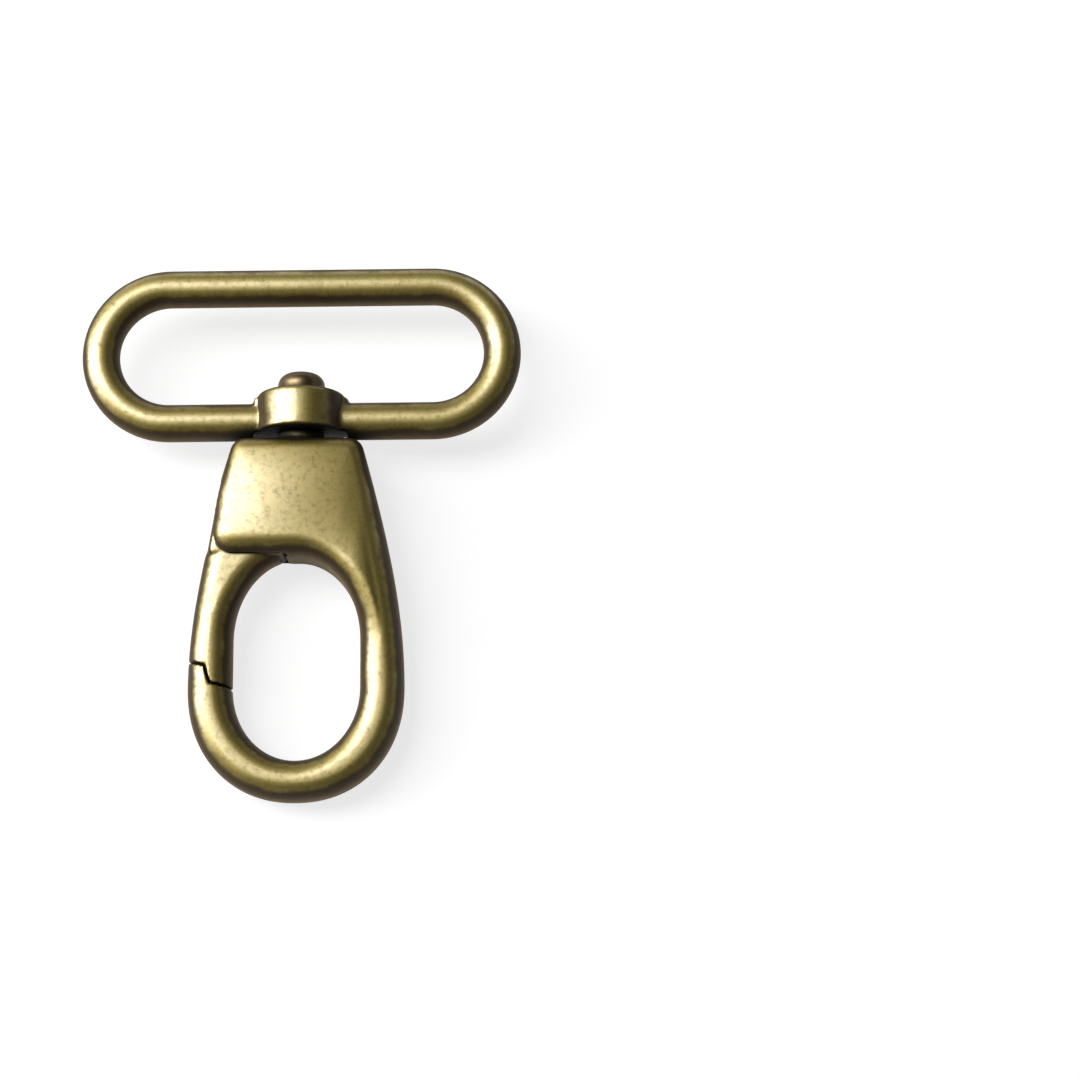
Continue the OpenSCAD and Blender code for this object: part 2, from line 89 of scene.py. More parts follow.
# The steps that curves are drawn in
NOSE_STEPS, HEEL_STEPS, FLANK_STEPS, GATE_STEPS = 12, 96, 64, 96
EDGE_STEPS, CROWN_STEPS, CIRCLE_STEPS, TURNED_STEPS, PIN_STEPS = 16, 12, 96, 128, 64
HEAD_STEPS, HEAD_SHARES = 4, (5, 5, 7, 1)
SLOT_STEPS, ROOT_LAYERS, RIM_STEPS, LUG_STEPS = 47, 6, 12, 12
LOOP_STEPS, LOOP_SIDES, COIL_STEPS, LEG_STEPS, SPRING_SIDES = 64, 64, 216, 8, 16

# Each casting's voxel, and the rounds of smoothing that ease its edges by about 0.2 mm
HOOK_SKIN, GATE_SKIN, RING_SKIN = (0.16, 6), (0.13, 7), (0.14, 6)

arch_y = -HEAD_L - ARCH_H
bowl_y = -HEAD_L - EYE_L + BOWL_H
heel_y = -HEAD_L - EYE_L - HEEL_W
hook_w = EYE_W + 2 * BAR_W
collar_y = SEAT_H + SWIVEL_PLAY
collar_top_y = collar_y + COLLAR_H
rivet_head_y = collar_top_y + SWIVEL_PLAY
loop_bar_y = BAR_LIFT + WIRE_D / 2
loop_end_r = (LOOP_GAP + WIRE_D) / 2
loop_mid_y = loop_bar_y + loop_end_r
loop_end_x = (STRAP_W + WIRE_D) / 2 - loop_end_r

# The pose at rest: the collar's lower edge and the heel's back both touch the table
lie_tilt = atan((COLLAR_D - BAR_T) / 2 / (collar_y - heel_y - HEEL_W / 2))
lie_z = COLLAR_D / 2 * cos(lie_tilt) - collar_y * sin(lie_tilt)
lie_y = -((loop_mid_y + loop_end_r) * cos(lie_tilt) + WIRE_D / 2 + heel_y * cos(lie_tilt)) / 2
LYING = (Matrix.Scale(0.001, 4) @ Matrix.Translation((0, lie_y, lie_z))
         @ Matrix.Rotation(lie_tilt, 4, "X"))
ON_SWIVEL = Matrix.Rotation(-pi / 2, 4, "X")
SHIFTED = Matrix.Translation((HOOK_SHIFT, 0, 0))
ON_PIN = Matrix.Translation((HOOK_SHIFT - PIN_X, -PIN_Y, 0))
pin_at = np.array([-PIN_X, -PIN_Y])


def lerp(a, b, t):
    return a + (b - a) * t


def ease(t):
    u = min(1.0, max(0.0, t))
    return u * u * (3 - 2 * u)


def bezier(p0, p1, p2, p3, t):
    return (1 - t) ** 3 * p0 + 3 * t * (1 - t) ** 2 * p1 + 3 * t * t * (1 - t) * p2 + t ** 3 * p3


def round_pt(centre, r, deg):
    return np.array([centre[0] + r * cos(radians(deg)), centre[1] + r * sin(radians(deg))])


# The hook's outlines, as its drawing gives them
def arch_pt(deg):
    return np.array([EYE_W / 2 * cos(radians(deg)), arch_y + ARCH_H * sin(radians(deg))])


def bowl_pt(deg):
    return np.array([EYE_W / 2 * cos(radians(deg)), bowl_y + BOWL_H * sin(radians(deg))])


def eye_x(y):
    return EYE_W / 2 * (sqrt(1 - ((bowl_y - y) / BOWL_H) ** 2) if y < bowl_y else 1)


side_pull = -bowl_y / 3
side_foot = np.array([hook_w / 2, bowl_y])
side_top = np.array([HEAD_W / 2, 0.0])


def side_curve(t):
    return bezier(side_foot, side_foot + [0, side_pull],
                  side_top + side_pull * np.array([tan(radians(HEAD_FLARE)), -1]), side_top, t)


def side_x(y):
    if y < bowl_y:
        drop = ((bowl_y - y) / (BOWL_H + HEEL_W)) ** HEEL_POWER
        return hook_w / 2 * (1 - drop) ** (1 / HEEL_POWER)
    return side_curve(1 - y / bowl_y)[0]


def heel_pt(deg):
    c, s = cos(radians(deg)), abs(sin(radians(deg)))
    return np.array([hook_w / 2 * np.sign(c) * abs(c) ** (2 / HEEL_POWER),
                     bowl_y - (BOWL_H + HEEL_W) * s ** (2 / HEEL_POWER)])


corner_t = 1 - HEAD_CORNER_R * (1 - sin(radians(HEAD_FLARE))) / -bowl_y
corner_foot = side_curve(corner_t)
corner_mid = np.array([corner_foot[0] - HEAD_CORNER_R * cos(radians(HEAD_FLARE)), -HEAD_CORNER_R])
pad_low_y = -HEAD_L + PAD_CORNER_R
pad_x = side_x(pad_low_y) - PAD_INSET
pad_pull = (corner_foot[1] - pad_low_y) / 3
pad_top = np.array([-corner_foot[0], corner_foot[1]])
pad_foot = np.array([-pad_x, pad_low_y])
pad_corner_mid = np.array([-pad_x + PAD_CORNER_R, pad_low_y])
pad_join_x = -EYE_W / 2 + PAD_JOIN


def pad_curve(t):
    flare = np.array([sin(radians(HEAD_FLARE)), cos(radians(HEAD_FLARE))])
    return bezier(pad_top, pad_top - pad_pull * flare, pad_foot + [0, pad_pull], pad_foot, t)


def bar_edge(width):
    return min(EDGE_R, (width - BAR_LAND) / 2)


top_edge_r = HEAD_CORNER_R - BAR_LAND
pad_edge_r = min(EDGE_R, PAD_CORNER_R - BAR_LAND)


def hook_stations():
    """Stations across the casting from the nose round the heel and up the flank into the head:
    inner point, outer point, half thickness, inner and outer rounding."""
    found = []
    bar, heel = bar_edge(BAR_W), bar_edge(HEEL_W)
    for y in np.linspace(-LAP_Y + LAP_GAP, bowl_y, NOSE_STEPS + 1)[:-1]:
        found.append(([-eye_x(y), y], [-side_x(y), y], BAR_T / 2, bar, bar))
    for deg in np.linspace(180, 360, HEEL_STEPS + 1)[:-1]:
        e = lerp(bar, heel, sin(radians(deg)) ** 2)
        found.append((bowl_pt(deg), heel_pt(deg), BAR_T / 2, e, e))
    bend = (arch_y - bowl_y) / -bowl_y
    for s in np.linspace(0, 1, FLANK_STEPS + 1):
        swell = ease((s - SWELL_START) / (SWELL_END - SWELL_START))
        inner = ([EYE_W / 2, lerp(bowl_y, arch_y, s / bend)] if s < bend
                 else arch_pt(ARCH_STOP * (s - bend) / (1 - bend)))
        found.append((inner, side_curve(corner_t * s), lerp(BAR_T, HEAD_T, swell) / 2,
                      lerp(bar, pad_edge_r, swell),
                      lerp(bar, top_edge_r, ease((s - SHARP_START) / (1 - SHARP_START)))))
    # Round the head: corner, top, corner, pad, lower corner and the join with the arch
    corner, top, pad, join = (share * HEAD_STEPS for share in HEAD_SHARES)
    out = [round_pt(corner_mid, HEAD_CORNER_R, lerp(HEAD_FLARE, 90, k / corner))
           for k in range(1, corner + 1)]
    out += [np.array([lerp(corner_mid[0], -corner_mid[0], k / top), 0.0])
            for k in range(1, top + 1)]
    out += [round_pt((-corner_mid[0], corner_mid[1]), HEAD_CORNER_R,
                     lerp(90, 180 - HEAD_FLARE, k / corner)) for k in range(1, corner + 1)]
    out += [pad_curve(k / pad) for k in range(1, pad + 1)]
    out += [round_pt(pad_corner_mid, PAD_CORNER_R, lerp(180, 270, k / corner))
            for k in range(1, corner + 1)]
    out += [np.array([lerp(pad_corner_mid[0], pad_join_x, k / join), -HEAD_L])
            for k in range(1, join + 1)]
    for k, outer in enumerate(out, 1):
        s = k / len(out)
        inner = (arch_pt(lerp(ARCH_STOP, 90, s / ARCH_SHARE)) if s < ARCH_SHARE else
                 [lerp(0, pad_join_x + PAD_JOIN_W, (s - ARCH_SHARE) / (1 - ARCH_SHARE)), -HEAD_L])
        found.append((inner, outer, HEAD_T / 2, pad_edge_r,
                      lerp(top_edge_r, pad_edge_r, ease((k - 2 * corner - top) / pad))))
    return found


tip_y = -LAP_Y - LIP_L - TRIM
gate_t = SLOT_W - 2 * SLOT_PLAY
tail_mid = arch_pt(TAIL_DEG) + (TAIL_R + TAIL_LIFT) * round_pt((0, 0), 1, TAIL_DEG)


def gate_stations():
    """Stations across the gate's bar, from its root down to its tip."""
    found = []
    bend = (arch_y - tip_y) / (-PIN_Y - tip_y)
    bar = bar_edge(BAR_W)
    for s in np.linspace(1, 0, GATE_STEPS + 1):
        y = lerp(tip_y, -PIN_Y, s)
        if s < bend:
            level = lerp(tip_y, arch_y, s / bend)
            inner = [-eye_x(level), level]
        else:
            inner = arch_pt(lerp(180, TAIL_DEG, (s - bend) / (1 - bend)))
        root_x = PIN_X + ROOT_R - ROOT_TRIM
        outer = [-lerp(side_x(y), root_x, ease((y + HEAD_L) / (-PIN_Y + HEAD_L))), y]
        waist = ease((y + HEAD_L + WAIST_LOW) / (WAIST_LOW - WAIST_HIGH))
        half = lerp(BAR_T, gate_t, waist) / 2 - ROOT_STEP * ease((s - 1) / ROOT_SHARE + 1)
        found.append((inner, outer, half, bar, bar))
    return found


def line_normals(line, side):
    """The directions square to a flat line at its points, on its left (1) or right (-1)."""
    d = np.gradient(line, axis=0)
    d /= np.linalg.norm(d, axis=1)[:, None]
    return side * np.stack([-d[:, 1], d[:, 0]], 1)


def add_mesh(name, verts, faces):
    """One closed skin, with every face turned to point outwards."""
    mesh = bpy.data.meshes.new(name)
    mesh.from_pydata([tuple(float(c) for c in v) for v in verts], [], [tuple(f) for f in faces])
    bm = bmesh.new()
    bm.from_mesh(mesh)
    bmesh.ops.recalc_face_normals(bm, faces=bm.faces)
    bm.to_mesh(mesh)
    bm.free()
    obj = bpy.data.objects.new(name, mesh)
    bpy.context.scene.collection.objects.link(obj)
    return obj


def rounded_bar(name, stations, crown=0.0):
    """A bar or plate with rounded long edges, alike at the front and the back, as a closed mesh."""
    inner = np.array([s[0] for s in stations], float)
    outer = np.array([s[1] for s in stations], float)
    n_in, n_out = line_normals(inner, -1), line_normals(outer, 1)
    verts = []
    for k, (_, _, half, r_in, r_out) in enumerate(stations):
        span = np.linalg.norm(outer[k] + n_out[k] * r_out - inner[k] - n_in[k] * r_in)
        rise = crown * min(1, span / CROWN_SPAN) ** 2
        sides = []
        for p, n, r in ((inner[k], n_in[k], r_in), (outer[k], n_out[k], r_out)):
            depth = min(EDGE_DEPTH * r, half - EDGE_LAND)
            sides.append([[*(p + n * r * (1 - cos(a))), half - depth * (1 - sin(a))]
                          for a in np.linspace(0, pi / 2 - atan(pi * rise / span), EDGE_STEPS + 1)])
        pa, pb = np.array(sides[0][-1]), np.array(sides[1][-1])
        top = [list(lerp(pa, pb, j / CROWN_STEPS) + [0, 0, rise * sin(pi * j / CROWN_STEPS)])
               for j in range(1, CROWN_STEPS)]
        front = sides[0] + top + sides[1][::-1]
        verts += front + [[x, y, -z] for x, y, z in front[::-1]]
    n = 2 * EDGE_STEPS + CROWN_STEPS + 1
    ring = 2 * n
    faces = []
    for k in range(len(stations) - 1):
        for j in range(ring):
            a, b = k * ring + j, k * ring + (j + 1) % ring
            faces.append((a, a + ring, b + ring, b))
    for start, turn in ((0, 1), ((len(stations) - 1) * ring, -1)):
        for base in (0, n):
            for k in range(n // 2):
                quad = (base + k, base + k + 1, base + n - 2 - k, base + n - 1 - k)
                faces.append([start + i for i in dict.fromkeys(quad)][::turn])
        faces.append([start + i for i in (0, n - 1, n, 2 * n - 1)][::turn])
    return add_mesh(name, verts, faces)


def prism(outline, low, high):
    """An outline in the hook's plane, raised from one level to another."""
    n = len(outline)
    verts = [(*p, z) for z in (low, high) for p in outline]
    sides = [(k, (k + 1) % n, n + (k + 1) % n, n + k) for k in range(n)]
    return add_mesh("cutter", verts, [tuple(range(n))[::-1], tuple(range(n, 2 * n))] + sides)


def circle(centre, r):
    return [round_pt(centre, r, 360 * k / CIRCLE_STEPS) for k in range(CIRCLE_STEPS)]


def lathe(name, profile, steps=TURNED_STEPS):
    """A form turned about its own Z, whose profile starts on that axis."""
    verts, rings = [], []
    for r, z in profile:
        count = steps if r > 0 else 1
        rings.append((len(verts), count))
        verts += [(r * cos(2 * pi * j / steps), r * sin(2 * pi * j / steps), z)
                  for j in range(count)]
    faces = []
    for (a, na), (b, nb) in zip(rings, rings[1:]):
        for j in range(steps):
            quad = [a + j % na, a + (j + 1) % na, b + (j + 1) % nb, b + j % nb]
            faces.append(list(dict.fromkeys(quad)))
    return add_mesh(name, verts, faces)


def wire(name, path, r, sides):
    """A round wire along a path that bends only in the hook's plane, as a closed mesh."""
    path = np.array(path, float)
    turns = [2 * pi * j / sides for j in range(sides)]
    verts = [(*(p[:2] + r * cos(a) * n), p[2] + r * sin(a))
             for p, n in zip(path, line_normals(path[:, :2], 1)) for a in turns]
    last = (len(path) - 1) * sides
    faces = [(k + j, k + (j + 1) % sides, k + sides + (j + 1) % sides, k + sides + j)
             for k in range(0, last, sides) for j in range(sides)]
    faces += [tuple(range(sides)), tuple(range(last, last + sides))]
    return add_mesh(name, verts, faces)


def place(obj, matrix):
    obj.data.transform(matrix)
    return obj


def settle(obj, *modifiers):
    """Runs modifiers on a piece and keeps the result as its mesh."""
    for kind, values in modifiers:
        m = obj.modifiers.new(kind, kind)
        for key, value in values.items():
            setattr(m, key, value)
    bpy.context.view_layer.update()
    done = bpy.data.meshes.new_from_object(
        obj.evaluated_get(bpy.context.evaluated_depsgraph_get()))
    obj.modifiers.clear()
    old, obj.data = obj.data, done
    done.name = obj.name
    bpy.data.meshes.remove(old)
    return obj


def combine(obj, tool, operation="DIFFERENCE"):
    settle(obj, ("BOOLEAN", {"operation": operation, "solver": "EXACT", "object": tool}))
    bpy.data.objects.remove(tool)
    return obj


def cast(obj, voxel, rounds):
    """The skin of a casting: even, with every edge and corner eased as its mould and plating do."""
    settle(obj, ("REMESH", {"mode": "VOXEL", "voxel_size": voxel}),
           ("SMOOTH", {"factor": 0.5, "iterations": rounds}))
    obj.data.shade_smooth()
    return obj


def turned(obj, matrix):
    """The skin of a turned or drawn part, put in its place."""
    obj.data.shade_smooth()
    return place(obj, matrix)


lap_out_x = -side_x(-LAP_Y) - LAP_REACH
slot_r = np.linalg.norm(arch_pt(TAIL_DEG) - pin_at) + SLOT_PLAY
slot_top = ROOT_R + ROOT_PLAY
coil_h = SPRING_TURNS * SPRING_WIRE * COIL_PITCH
fork_w = coil_h + SPRING_WIRE + COIL_PLAY
fork_r = SPRING_R + SPRING_WIRE / 2 + COIL_ROOM


def lap_line(gap):
    """The stepped line between the nose and the gate, from the outer side inwards."""
    x = -side_x(-LAP_Y)
    tip, foot, high = x + LIP_W + gap, x + LIP_FOOT_W + gap, -LAP_Y + gap
    slope = tan(radians(LIP_SLOPE))
    return [(x - LAP_REACH, high + LAP_REACH * slope), (tip, high - LIP_W * slope),
            (foot, high - LIP_L), (0, high - LIP_L + foot * tan(radians(LEDGE_SLOPE)))]


def slot_outline():
    """The slot round the pin: square on the outer side and as deep as the gate's tail swings."""
    up = atan2(slot_top, sqrt(slot_r ** 2 - slot_top ** 2)) * 180 / pi
    arc = [round_pt((0, 0), slot_r, deg) for deg in np.linspace(-90, up, SLOT_STEPS + 1)]
    return [p + pin_at for p in arc + [np.array([-slot_r, slot_top]), np.array([-slot_r, -slot_r])]]


def bow(obj):
    """Bows the head's front and back across their width and towards their top, and eases that
    out along the flank."""
    for v in obj.data.vertices:
        x, y, z = v.co
        share = ease((y - BOW_FROM) / (BOW_FULL - BOW_FROM))
        drop = share * (BOW_DROP * (x - lerp(BOW_LOW_X, BOW_HIGH_X, share)) ** 2 - BOW_RISE)
        drop += TOP_BOW_DROP * max(0.0, y - TOP_BOW_FROM) ** 2
        v.co.z -= drop * z / (HEAD_T / 2)
    return obj


def hook_casting():
    obj = bow(rounded_bar("hook_casting", hook_stations(), PAD_CROWN))
    lap = lap_line(0) + [(0, TRIM - LAP_Y), (lap_out_x, TRIM - LAP_Y)]
    combine(obj, prism(lap, -BAR_T, BAR_T))
    combine(obj, prism(slot_outline(), -SLOT_W / 2, SLOT_W / 2))
    combine(obj, prism(circle(pin_at, PIN_D / 2), -HEAD_T, SLOT_W / 2 + PIN_BITE))
    place(obj, SHIFTED)
    # The seat's foot lies as deep in the head as its corners are round
    seat = lathe("cutter", [(0, -HEAD_CORNER_R), (SEAT_D / 2, -HEAD_CORNER_R),
                            (SEAT_D / 2, SEAT_H), (0, SEAT_H)])
    combine(obj, place(seat, ON_SWIVEL), "UNION")
    bore = lathe("cutter", [(0, -RIVET_GRIP), (RIVET_D / 2, -RIVET_GRIP),
                            (RIVET_D / 2, SEAT_H + TRIM), (0, SEAT_H + TRIM)])
    combine(obj, place(bore, ON_SWIVEL))
    return cast(obj, *HOOK_SKIN)


def root_outline(inset):
    """The hull of the root's three rounds: at the pin, at the tail and at the outer side."""
    low = np.array([-side_x(-HEAD_L) + TAIL_R + PAD_INSET + ROOT_TRIM / 2, -HEAD_L + TAIL_R])
    points = np.array(circle(pin_at, ROOT_R - ROOT_TRIM - inset)
                      + circle(tail_mid, TAIL_R) + circle(low, TAIL_R - inset))
    order = sorted(map(tuple, points))
    hull = []
    for run in (order, order[::-1]):
        start = len(hull)
        for p in run:
            while len(hull) - start >= 2 and np.cross(
                    np.subtract(hull[-1], hull[-2]), np.subtract(p, hull[-2])) <= 0:
                hull.pop()
            hull.append(p)
        hull.pop()
    return hull


def gate_casting():
    obj = rounded_bar("gate_casting", gate_stations())
    # The root, in layers that round its long edges
    for a in np.linspace(ROOT_EDGE_FROM, pi / 2, ROOT_LAYERS):
        half = gate_t / 2 - ROOT_EDGE_DEPTH * (1 - sin(a))
        combine(obj, prism(root_outline(ROOT_EDGE * (1 - cos(a))), -half, half), "UNION")
    lap = lap_line(LAP_GAP) + [(0, tip_y - OVER), (lap_out_x, tip_y - OVER)]
    combine(obj, prism(lap, -BAR_T, BAR_T))
    # Room for the coil, for the leg that leaves the gate and for the leg that lies in it
    x, y = pin_at
    half, leg = fork_w / 2, SPRING_R + SPRING_WIRE / 2 + LEG_PLAY
    leg_far = leg - SPRING_WIRE - 2 * LEG_PLAY
    fork = [circle(pin_at, fork_r),
            [(x, y - SPRING_R), (x + slot_r, y - SPRING_R),
             (x + slot_r, y + ROOT_R + TRIM), (x, y + ROOT_R + TRIM)],
            [(x - leg, y - SPRING_LEG - LEG_PLAY), (x - leg_far, y - SPRING_LEG - LEG_PLAY),
             (x - leg_far, y), (x - leg, y)]]
    # Each cutter is a hair higher than the last, so that no two of their faces coincide
    for k, outline in enumerate(fork):
        combine(obj, prism(outline, -half - k * HAIR, half + k * HAIR))
    combine(obj, prism(circle(pin_at, PIN_D / 2 + PIN_PLAY), -OVER, OVER))
    return cast(place(obj, SHIFTED), *GATE_SKIN)


def arc_points(r, top, radius):
    """A turned edge's rounding, from the side up to the top face."""
    return [(r - radius * (1 - cos(a)), top - radius * (1 - sin(a)))
            for a in np.linspace(0, pi / 2, RIM_STEPS + 1)]


def ring_casting():
    """The loop's round wire and its collar, as one casting."""
    path = [(-BAR_END_X, loop_bar_y, 0)]
    for side, start in ((-1, 270), (1, 90)):
        path += [(*round_pt((side * loop_end_x, loop_mid_y), loop_end_r, start - deg), 0)
                 for deg in np.linspace(0, 180, LOOP_STEPS + 1)]
    path += [(BAR_END_X, loop_bar_y, 0)]
    obj = wire("ring_casting", path, WIRE_D / 2, LOOP_SIDES)
    lug_r = COLLAR_D / 2
    body_r = lug_r - COLLAR_LUG
    # The bars keep clear of the seat under the collar
    reach, level = lug_r - 7 * HAIR, collar_y + 3 * HAIR
    face = lathe("cutter", [(0, -TRIM), (reach, -TRIM), (reach, level), (0, level)])
    combine(obj, place(face, ON_SWIVEL))
    collar = lathe("cutter", [(0, collar_y), (body_r, collar_y)]
                   + arc_points(body_r, collar_top_y, COLLAR_EDGE_R) + [(0, collar_top_y)])
    combine(obj, place(collar, ON_SWIVEL), "UNION")
    # The lugs in which the bars end, each shifted by a hair of its own
    half = LUG_W / 2
    spread = np.arcsin(half / lug_r)
    lug = [(lug_r * cos(a), lug_r * sin(a)) for a in np.linspace(-spread, spread, LUG_STEPS + 1)]
    for side in (0, pi):
        hair = HAIR * (2 if side else 1)
        sector = prism(lug + [(RIVET_D, half), (RIVET_D, -half)], collar_y + hair,
                       collar_top_y - COLLAR_EDGE_R - hair)
        combine(obj, place(sector, ON_SWIVEL @ Matrix.Rotation(side, 4, "Z")), "UNION")
    bore = RIVET_D / 2 + SWIVEL_PLAY
    hole = lathe("cutter", [(0, collar_y - TRIM), (bore, collar_y - TRIM),
                            (bore, collar_top_y + TRIM), (0, collar_top_y + TRIM)])
    combine(obj, place(hole, ON_SWIVEL))
    return cast(obj, *RING_SKIN)


def turned_rivet():
    head_r, shank_r = RIVET_HEAD_D / 2, RIVET_D / 2 - PRESS_PLAY
    top = rivet_head_y + RIVET_HEAD_H
    profile = [(0, -RIVET_GRIP + PRESS_PLAY), (shank_r, -RIVET_GRIP + PRESS_PLAY),
               (shank_r, rivet_head_y)]
    profile += [(head_r + out, rivet_head_y + up) for out, up in RIVET_FOOT]
    profile += arc_points(head_r, top, RIVET_RIM_R) + [(0, top)]
    return turned(lathe("swivel_rivet_head", profile), ON_SWIVEL)


def pressed_pin():
    r, back = PIN_D / 2 - PRESS_PLAY, -HEAD_T / 2
    front = SLOT_W / 2 + PIN_BITE - PRESS_PLAY
    profile = [(0, back), (r - PIN_EDGE, back), (r, back + PIN_EDGE), (r, front), (0, front)]
    return turned(lathe("gate_pin_rod", profile, PIN_STEPS), ON_PIN)


def torsion_spring():
    """The coil round the pin, with one leg in the gate and one against the head."""
    span = 180 - (90 + LEG_DEG) + 360 * SPRING_TURNS
    reach = sqrt((slot_r - LEG_PLAY) ** 2 - SPRING_R ** 2)
    coil = [(SPRING_R * cos(radians(180 - a)), SPRING_R * sin(radians(180 - a)),
             coil_h * (a / span - 0.5)) for a in np.linspace(0, span, COIL_STEPS + 1)]
    along = np.array([cos(radians(LEG_DEG)), sin(radians(LEG_DEG)), 0])
    path = [(-SPRING_R, -SPRING_LEG * k / LEG_STEPS, -coil_h / 2) for k in range(LEG_STEPS, 0, -1)]
    path += coil
    path += [np.array([*coil[-1][:2], coil_h / 2]) + along * reach * k / LEG_STEPS
             for k in range(1, LEG_STEPS + 1)]
    return turned(wire("gate_spring_wire", path, SPRING_WIRE / 2, SPRING_SIDES), ON_PIN)


# The metals' finish. A noise is given by its scale, detail and roughness, and a range is the part
# of a value that is spread from 0 to 1.
CLOUD, MOTTLE, SPECK = (260, 4, 0.6), (1700, 6, 0.72), (6000, 2, 0.5)
CLOUD_RANGE, UNEVEN = (0.3, 0.7), 0.05
# How squarely a rubbed face and a toned side wall face the front or the back. The rubbed faces are
# wear, the shoulders and walls left dark beside them are painted shade, and the walls' lift is a
# painted reflection of the table
RUB_AND_WALL_SHADE_RANGE, WALL_REFLECTION_RANGE, WALL_PAINTED_REFLECTION = (0.62, 0.975), (0.0, 0.55), 3.0
# Ambient occlusion darkens the hollows, the gap under the collar most: patina and painted shade
HOLLOW_SAMPLES, HOLLOW_REACH, HOLLOW_RANGE, HOLLOW_PATINA_AND_SHADE = 8, 0.005, (0.48, 0.86), 0.96
PATINA_RANGE, FLECK_RANGE, MOST_TARNISH = (0.42, 0.80), (0.58, 0.86), 0.5
COAT_LOSS, COAT_LEAST, COAT_ROUGH = 1.5, 0.05, 0.36
TONED_METALLIC, TONED_ROUGHER = 0.6, 0.14
WEAR_RANGE, WEAR_SPREAD = (0.3, 0.7), (-0.05, 0.07)
SPECK_HEIGHT, BUMP_DEPTH = 0.6, 0.00003


def new_material(name):
    mat = bpy.data.materials.new(name)
    mat.use_nodes = True
    return mat, mat.node_tree, mat.node_tree.nodes["Principled BSDF"]


def feed(tree, socket, value):
    """Sets a socket to a number or a colour, or links it to another node's output."""
    if isinstance(value, tuple):
        socket.default_value = (*value, 1)
    elif isinstance(value, (int, float)):
        socket.default_value = value
    else:
        tree.links.new(value, socket)


def noise(tree, coords, scale, detail, rough):
    node = tree.nodes.new("ShaderNodeTexNoise")
    for key, value in (("Vector", coords), ("Scale", scale), ("Detail", detail),
                       ("Roughness", rough)):
        feed(tree, node.inputs[key], value)
    return node.outputs["Fac"]


def remap(tree, value, low, high, to_low=0.0, to_high=1.0):
    node = tree.nodes.new("ShaderNodeMapRange")
    node.interpolation_type = "SMOOTHSTEP"
    for key, number in (("Value", value), ("From Min", low), ("From Max", high),
                        ("To Min", to_low), ("To Max", to_high)):
        feed(tree, node.inputs[key], number)
    return node.outputs["Result"]


def mix(tree, factor, a, b):
    node = tree.nodes.new("ShaderNodeMix")
    node.data_type = "RGBA"
    for key, value in (("Factor", factor), ("A", a), ("B", b)):
        feed(tree, node.inputs[key], value)
    return node.outputs["Result"]


def calc(tree, operation, a, b=0.0):
    node = tree.nodes.new("ShaderNodeMath")
    node.operation = operation
    for socket, value in zip(node.inputs, (a, b)):
        feed(tree, socket, value)
    return node.outputs["Value"]


